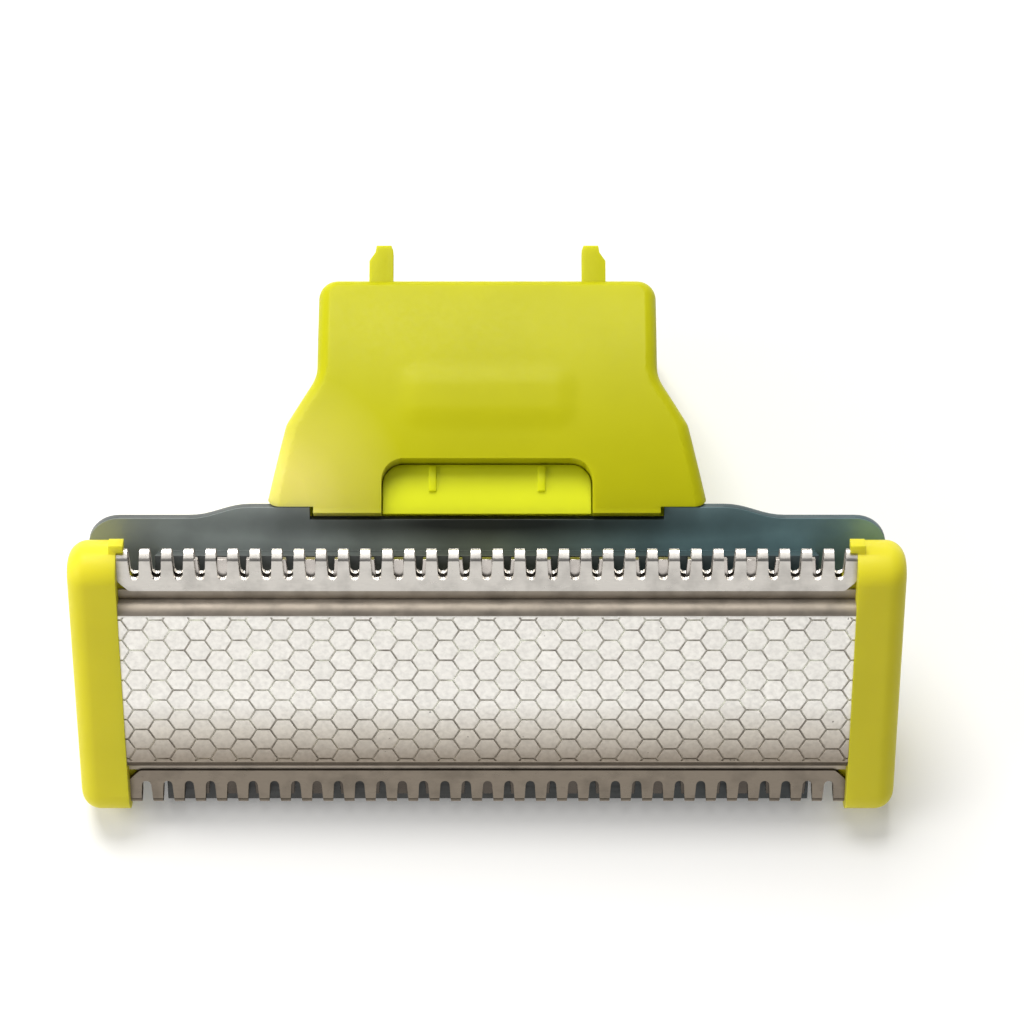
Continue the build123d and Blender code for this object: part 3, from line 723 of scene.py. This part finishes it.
class SHAVER_OT_plate(bpy.types.Operator):
    """Honeycomb plate with a tone of its own on each cell and dull lines between them"""

    bl_idname = "shaver.plate"
    bl_label = "Honeycomb plate"

    def execute(self, context):
        bm = merged_copy("honeycomb_plate")
        middle = blade_middle()
        flat_half = plate_half() - ROLL_WIDTH
        tone = bm.faces.layers.float.new("cell_tone")
        for face in bm.faces:
            place = face.calc_center_median() - middle
            depth = -place.dot(OUTWARD)
            face[tone] = 0.5 + 0.5 * noise.noise(place * 2900)
            if abs(place.dot(ACROSS)) > flat_half:
                face.material_index = 2
            elif ETCH_DEPTHS[0] < depth < ETCH_DEPTHS[1]:
                face.material_index = 1
        # The rolled edge darkens toward the lower edge of the blades as painted shade.
        rolled = satin_steel("Rolled edge", colours().rolled, 0.60, 0.70, 3000, 0.35)
        finishes = [cell_steel(), etched_steel(), rolled]
        finish_piece(bm, "honeycomb_plate_soft", "honeycomb_plate", finishes, BLADE_PLANES)
        return {"FINISHED"}


class SHAVER_OT_cutter(bpy.types.Operator):
    """Moving cutter behind the combs"""

    bl_idname = "shaver.cutter"
    bl_label = "Cutter"

    def execute(self, context):
        # The cutter darkens toward the lower edge of the blades as painted shade in the lower tooth gaps.
        steel = satin_steel("Cutter steel", colours().cutter, 0.22, 0.32, 8000, 0.15)
        bm = merged_copy("cutter_blade")
        round_edges(bm, edges_between(bm, 60, 140), sizes().tooth_round * 0.6, 2)
        finish_piece(bm, "cutter_blade_soft", "cutter_blade", [steel], BLADE_PLANES)
        return {"FINISHED"}


class SHAVER_OT_drive(bpy.types.Operator):
    """Lever, bridge, pins and springs"""

    bl_idname = "shaver.drive"
    bl_label = "Drive and springs"

    def execute(self, context):
        plastic = drive_plastic()
        pin = satin_steel("Pin steel", colours().pin, 0.18, 0.26, 9000)
        spring = satin_steel("Spring steel", colours().spring, 0.28, 0.38, 9000)
        finishes = {
            "drive_lever": plastic,
            "drive_bridge": plastic,
            "lever_pin": pin,
            "swivel_pin_left": pin,
            "swivel_pin_right": pin,
            "tilt_spring_left": spring,
            "tilt_spring_right": spring,
            "pressure_spring": spring,
        }
        for node, finish in finishes.items():
            bm = merged_copy(node)
            round_edges(bm, edges_between(bm, 40, 140), sizes().small_round, 2)
            bend = self.slice_leaf(bm) if node.startswith("tilt_spring") else None
            even_shading(finish_piece(bm, node + "_soft", node, [finish], bend=bend))
        return {"FINISHED"}

    def slice_leaf(self, bm):
        """Slices a leaf spring across its free arm in nine places, and returns the ends of that arm."""
        foot = min(v.co.z for v in bm.verts)
        bend = Vector((0, min(v.co.y for v in bm.verts if v.co.z < foot + 0.25 * MM), foot))
        tip = min((v.co.copy() for v in bm.verts), key=lambda place: place.y)
        tip.x = 0
        for step in range(1, 10):
            bmesh.ops.bisect_plane(
                bm,
                geom=[*bm.faces, *bm.edges, *bm.verts],
                dist=CUT_TOLERANCE,
                plane_co=bend.lerp(tip, step / 10),
                plane_no=tip - bend,
            )
        return bend, tip


class SHAVER_OT_stage(bpy.types.Operator):
    """Pale floor, soft light and the camera"""

    bl_idname = "shaver.stage"
    bl_label = "Stage"

    def execute(self, context):
        stage = context.scene.head_stage
        self.lay_floor(stage)
        self.hang_lights(context)
        self.set_camera(context, stage)
        context.scene.view_settings.view_transform = "Standard"
        return {"FINISHED"}

    def lay_floor(self, stage):
        bm = bmesh.new()
        bmesh.ops.create_grid(bm, x_segments=1, y_segments=1, size=1.5)
        mesh = bpy.data.meshes.new("floor")
        bm.to_mesh(mesh)
        bm.free()
        floor = bpy.data.objects.new("floor", mesh)
        bpy.context.collection.objects.link(floor)
        material, nodes, links, shader = new_material("Pale floor")
        shader.inputs["Base Color"].default_value = (*stage.floor, 1)
        shader.inputs["Roughness"].default_value = 0.7
        shader.inputs["Specular IOR Level"].default_value = 0.2
        shader.inputs["Emission Color"].default_value = (1, 1, 0.99, 1)
        path = nodes.new("ShaderNodeLightPath")
        seen = path.outputs["Is Camera Ray"]
        for ray in ("Is Glossy Ray", "Is Transmission Ray"):
            either = nodes.new("ShaderNodeMath")
            either.operation = "MAXIMUM"
            links.new(seen, either.inputs[0])
            links.new(path.outputs[ray], either.inputs[1])
            seen = either.outputs[0]
        lift = nodes.new("ShaderNodeMath")
        lift.operation = "MULTIPLY"
        lift.inputs[1].default_value = stage.floor_lift
        links.new(seen, lift.inputs[0])
        links.new(lift.outputs[0], shader.inputs["Emission Strength"])
        mesh.materials.append(material)

    def hang_lights(self, context):
        world = bpy.data.worlds.new("Studio")
        world.use_nodes = True
        world.node_tree.nodes["Background"].inputs["Color"].default_value = (0.97, 0.98, 1.0, 1)
        world.node_tree.nodes["Background"].inputs["Strength"].default_value = 0.22
        context.scene.world = world
        for name, place, width, height, power in LAMPS:
            lamp = bpy.data.lights.new(name, "AREA")
            lamp.shape = "RECTANGLE"
            lamp.size = width
            lamp.size_y = height
            lamp.energy = power
            holder = bpy.data.objects.new(name, lamp)
            holder.location = place
            holder.rotation_euler = (LIGHT_TARGET - Vector(place)).to_track_quat("-Z", "Y").to_euler()
            context.collection.objects.link(holder)

    def set_camera(self, context, stage):
        """The photograph's camera: square to the blades' length, the blade middle a little below the axis."""
        to_camera = Vector((0, -math.cos(stage.camera_height), math.sin(stage.camera_height)))
        up = Vector((0, math.sin(stage.camera_height), math.cos(stage.camera_height)))
        camera = bpy.data.objects.new("camera", bpy.data.cameras.new("camera"))
        camera.data.lens = stage.lens
        camera.data.sensor_width = 36
        camera.data.clip_start = 0.005
        aim = blade_middle() + AIM_ACROSS * ACROSS + AIM_UP * up + AIM_RIGHT * RIGHT
        camera.matrix_world = Matrix.Translation(aim + stage.camera_distance * to_camera) @ Matrix(
            (RIGHT, up, to_camera)
        ).transposed().to_4x4()
        context.collection.objects.link(camera)
        context.scene.camera = camera


class SHAVER_PT_panel(bpy.types.Panel):
    """Lists the pieces of the shaver head"""

    bl_label = "Shaver head"
    bl_idname = "SHAVER_PT_panel"
    bl_space_type = "VIEW_3D"
    bl_region_type = "UI"
    bl_category = "Shaver head"

    def draw(self, context):
        for step in STEPS:
            self.layout.operator(step.bl_idname)


STEPS = (
    SHAVER_OT_holder,
    SHAVER_OT_guards,
    SHAVER_OT_carrier,
    SHAVER_OT_combs,
    SHAVER_OT_plate,
    SHAVER_OT_cutter,
    SHAVER_OT_drive,
    SHAVER_OT_stage,
)
CLASSES = (HeadSizes, HeadColours, StageSettings, *STEPS, SHAVER_PT_panel)


def register():
    for cls in CLASSES:
        bpy.utils.register_class(cls)
    bpy.types.Scene.head_sizes = bpy.props.PointerProperty(type=HeadSizes)
    bpy.types.Scene.head_colours = bpy.props.PointerProperty(type=HeadColours)
    bpy.types.Scene.head_stage = bpy.props.PointerProperty(type=StageSettings)


def unregister():
    del bpy.types.Scene.head_stage
    del bpy.types.Scene.head_colours
    del bpy.types.Scene.head_sizes
    for cls in reversed(CLASSES):
        bpy.utils.unregister_class(cls)


def main():
    register()
    bpy.ops.shaver.holder()
    bpy.ops.shaver.guards()
    bpy.ops.shaver.carrier()
    bpy.ops.shaver.combs()
    bpy.ops.shaver.plate()
    bpy.ops.shaver.cutter()
    bpy.ops.shaver.drive()
    bpy.ops.shaver.stage()


if __name__ == "__main__":
    main()
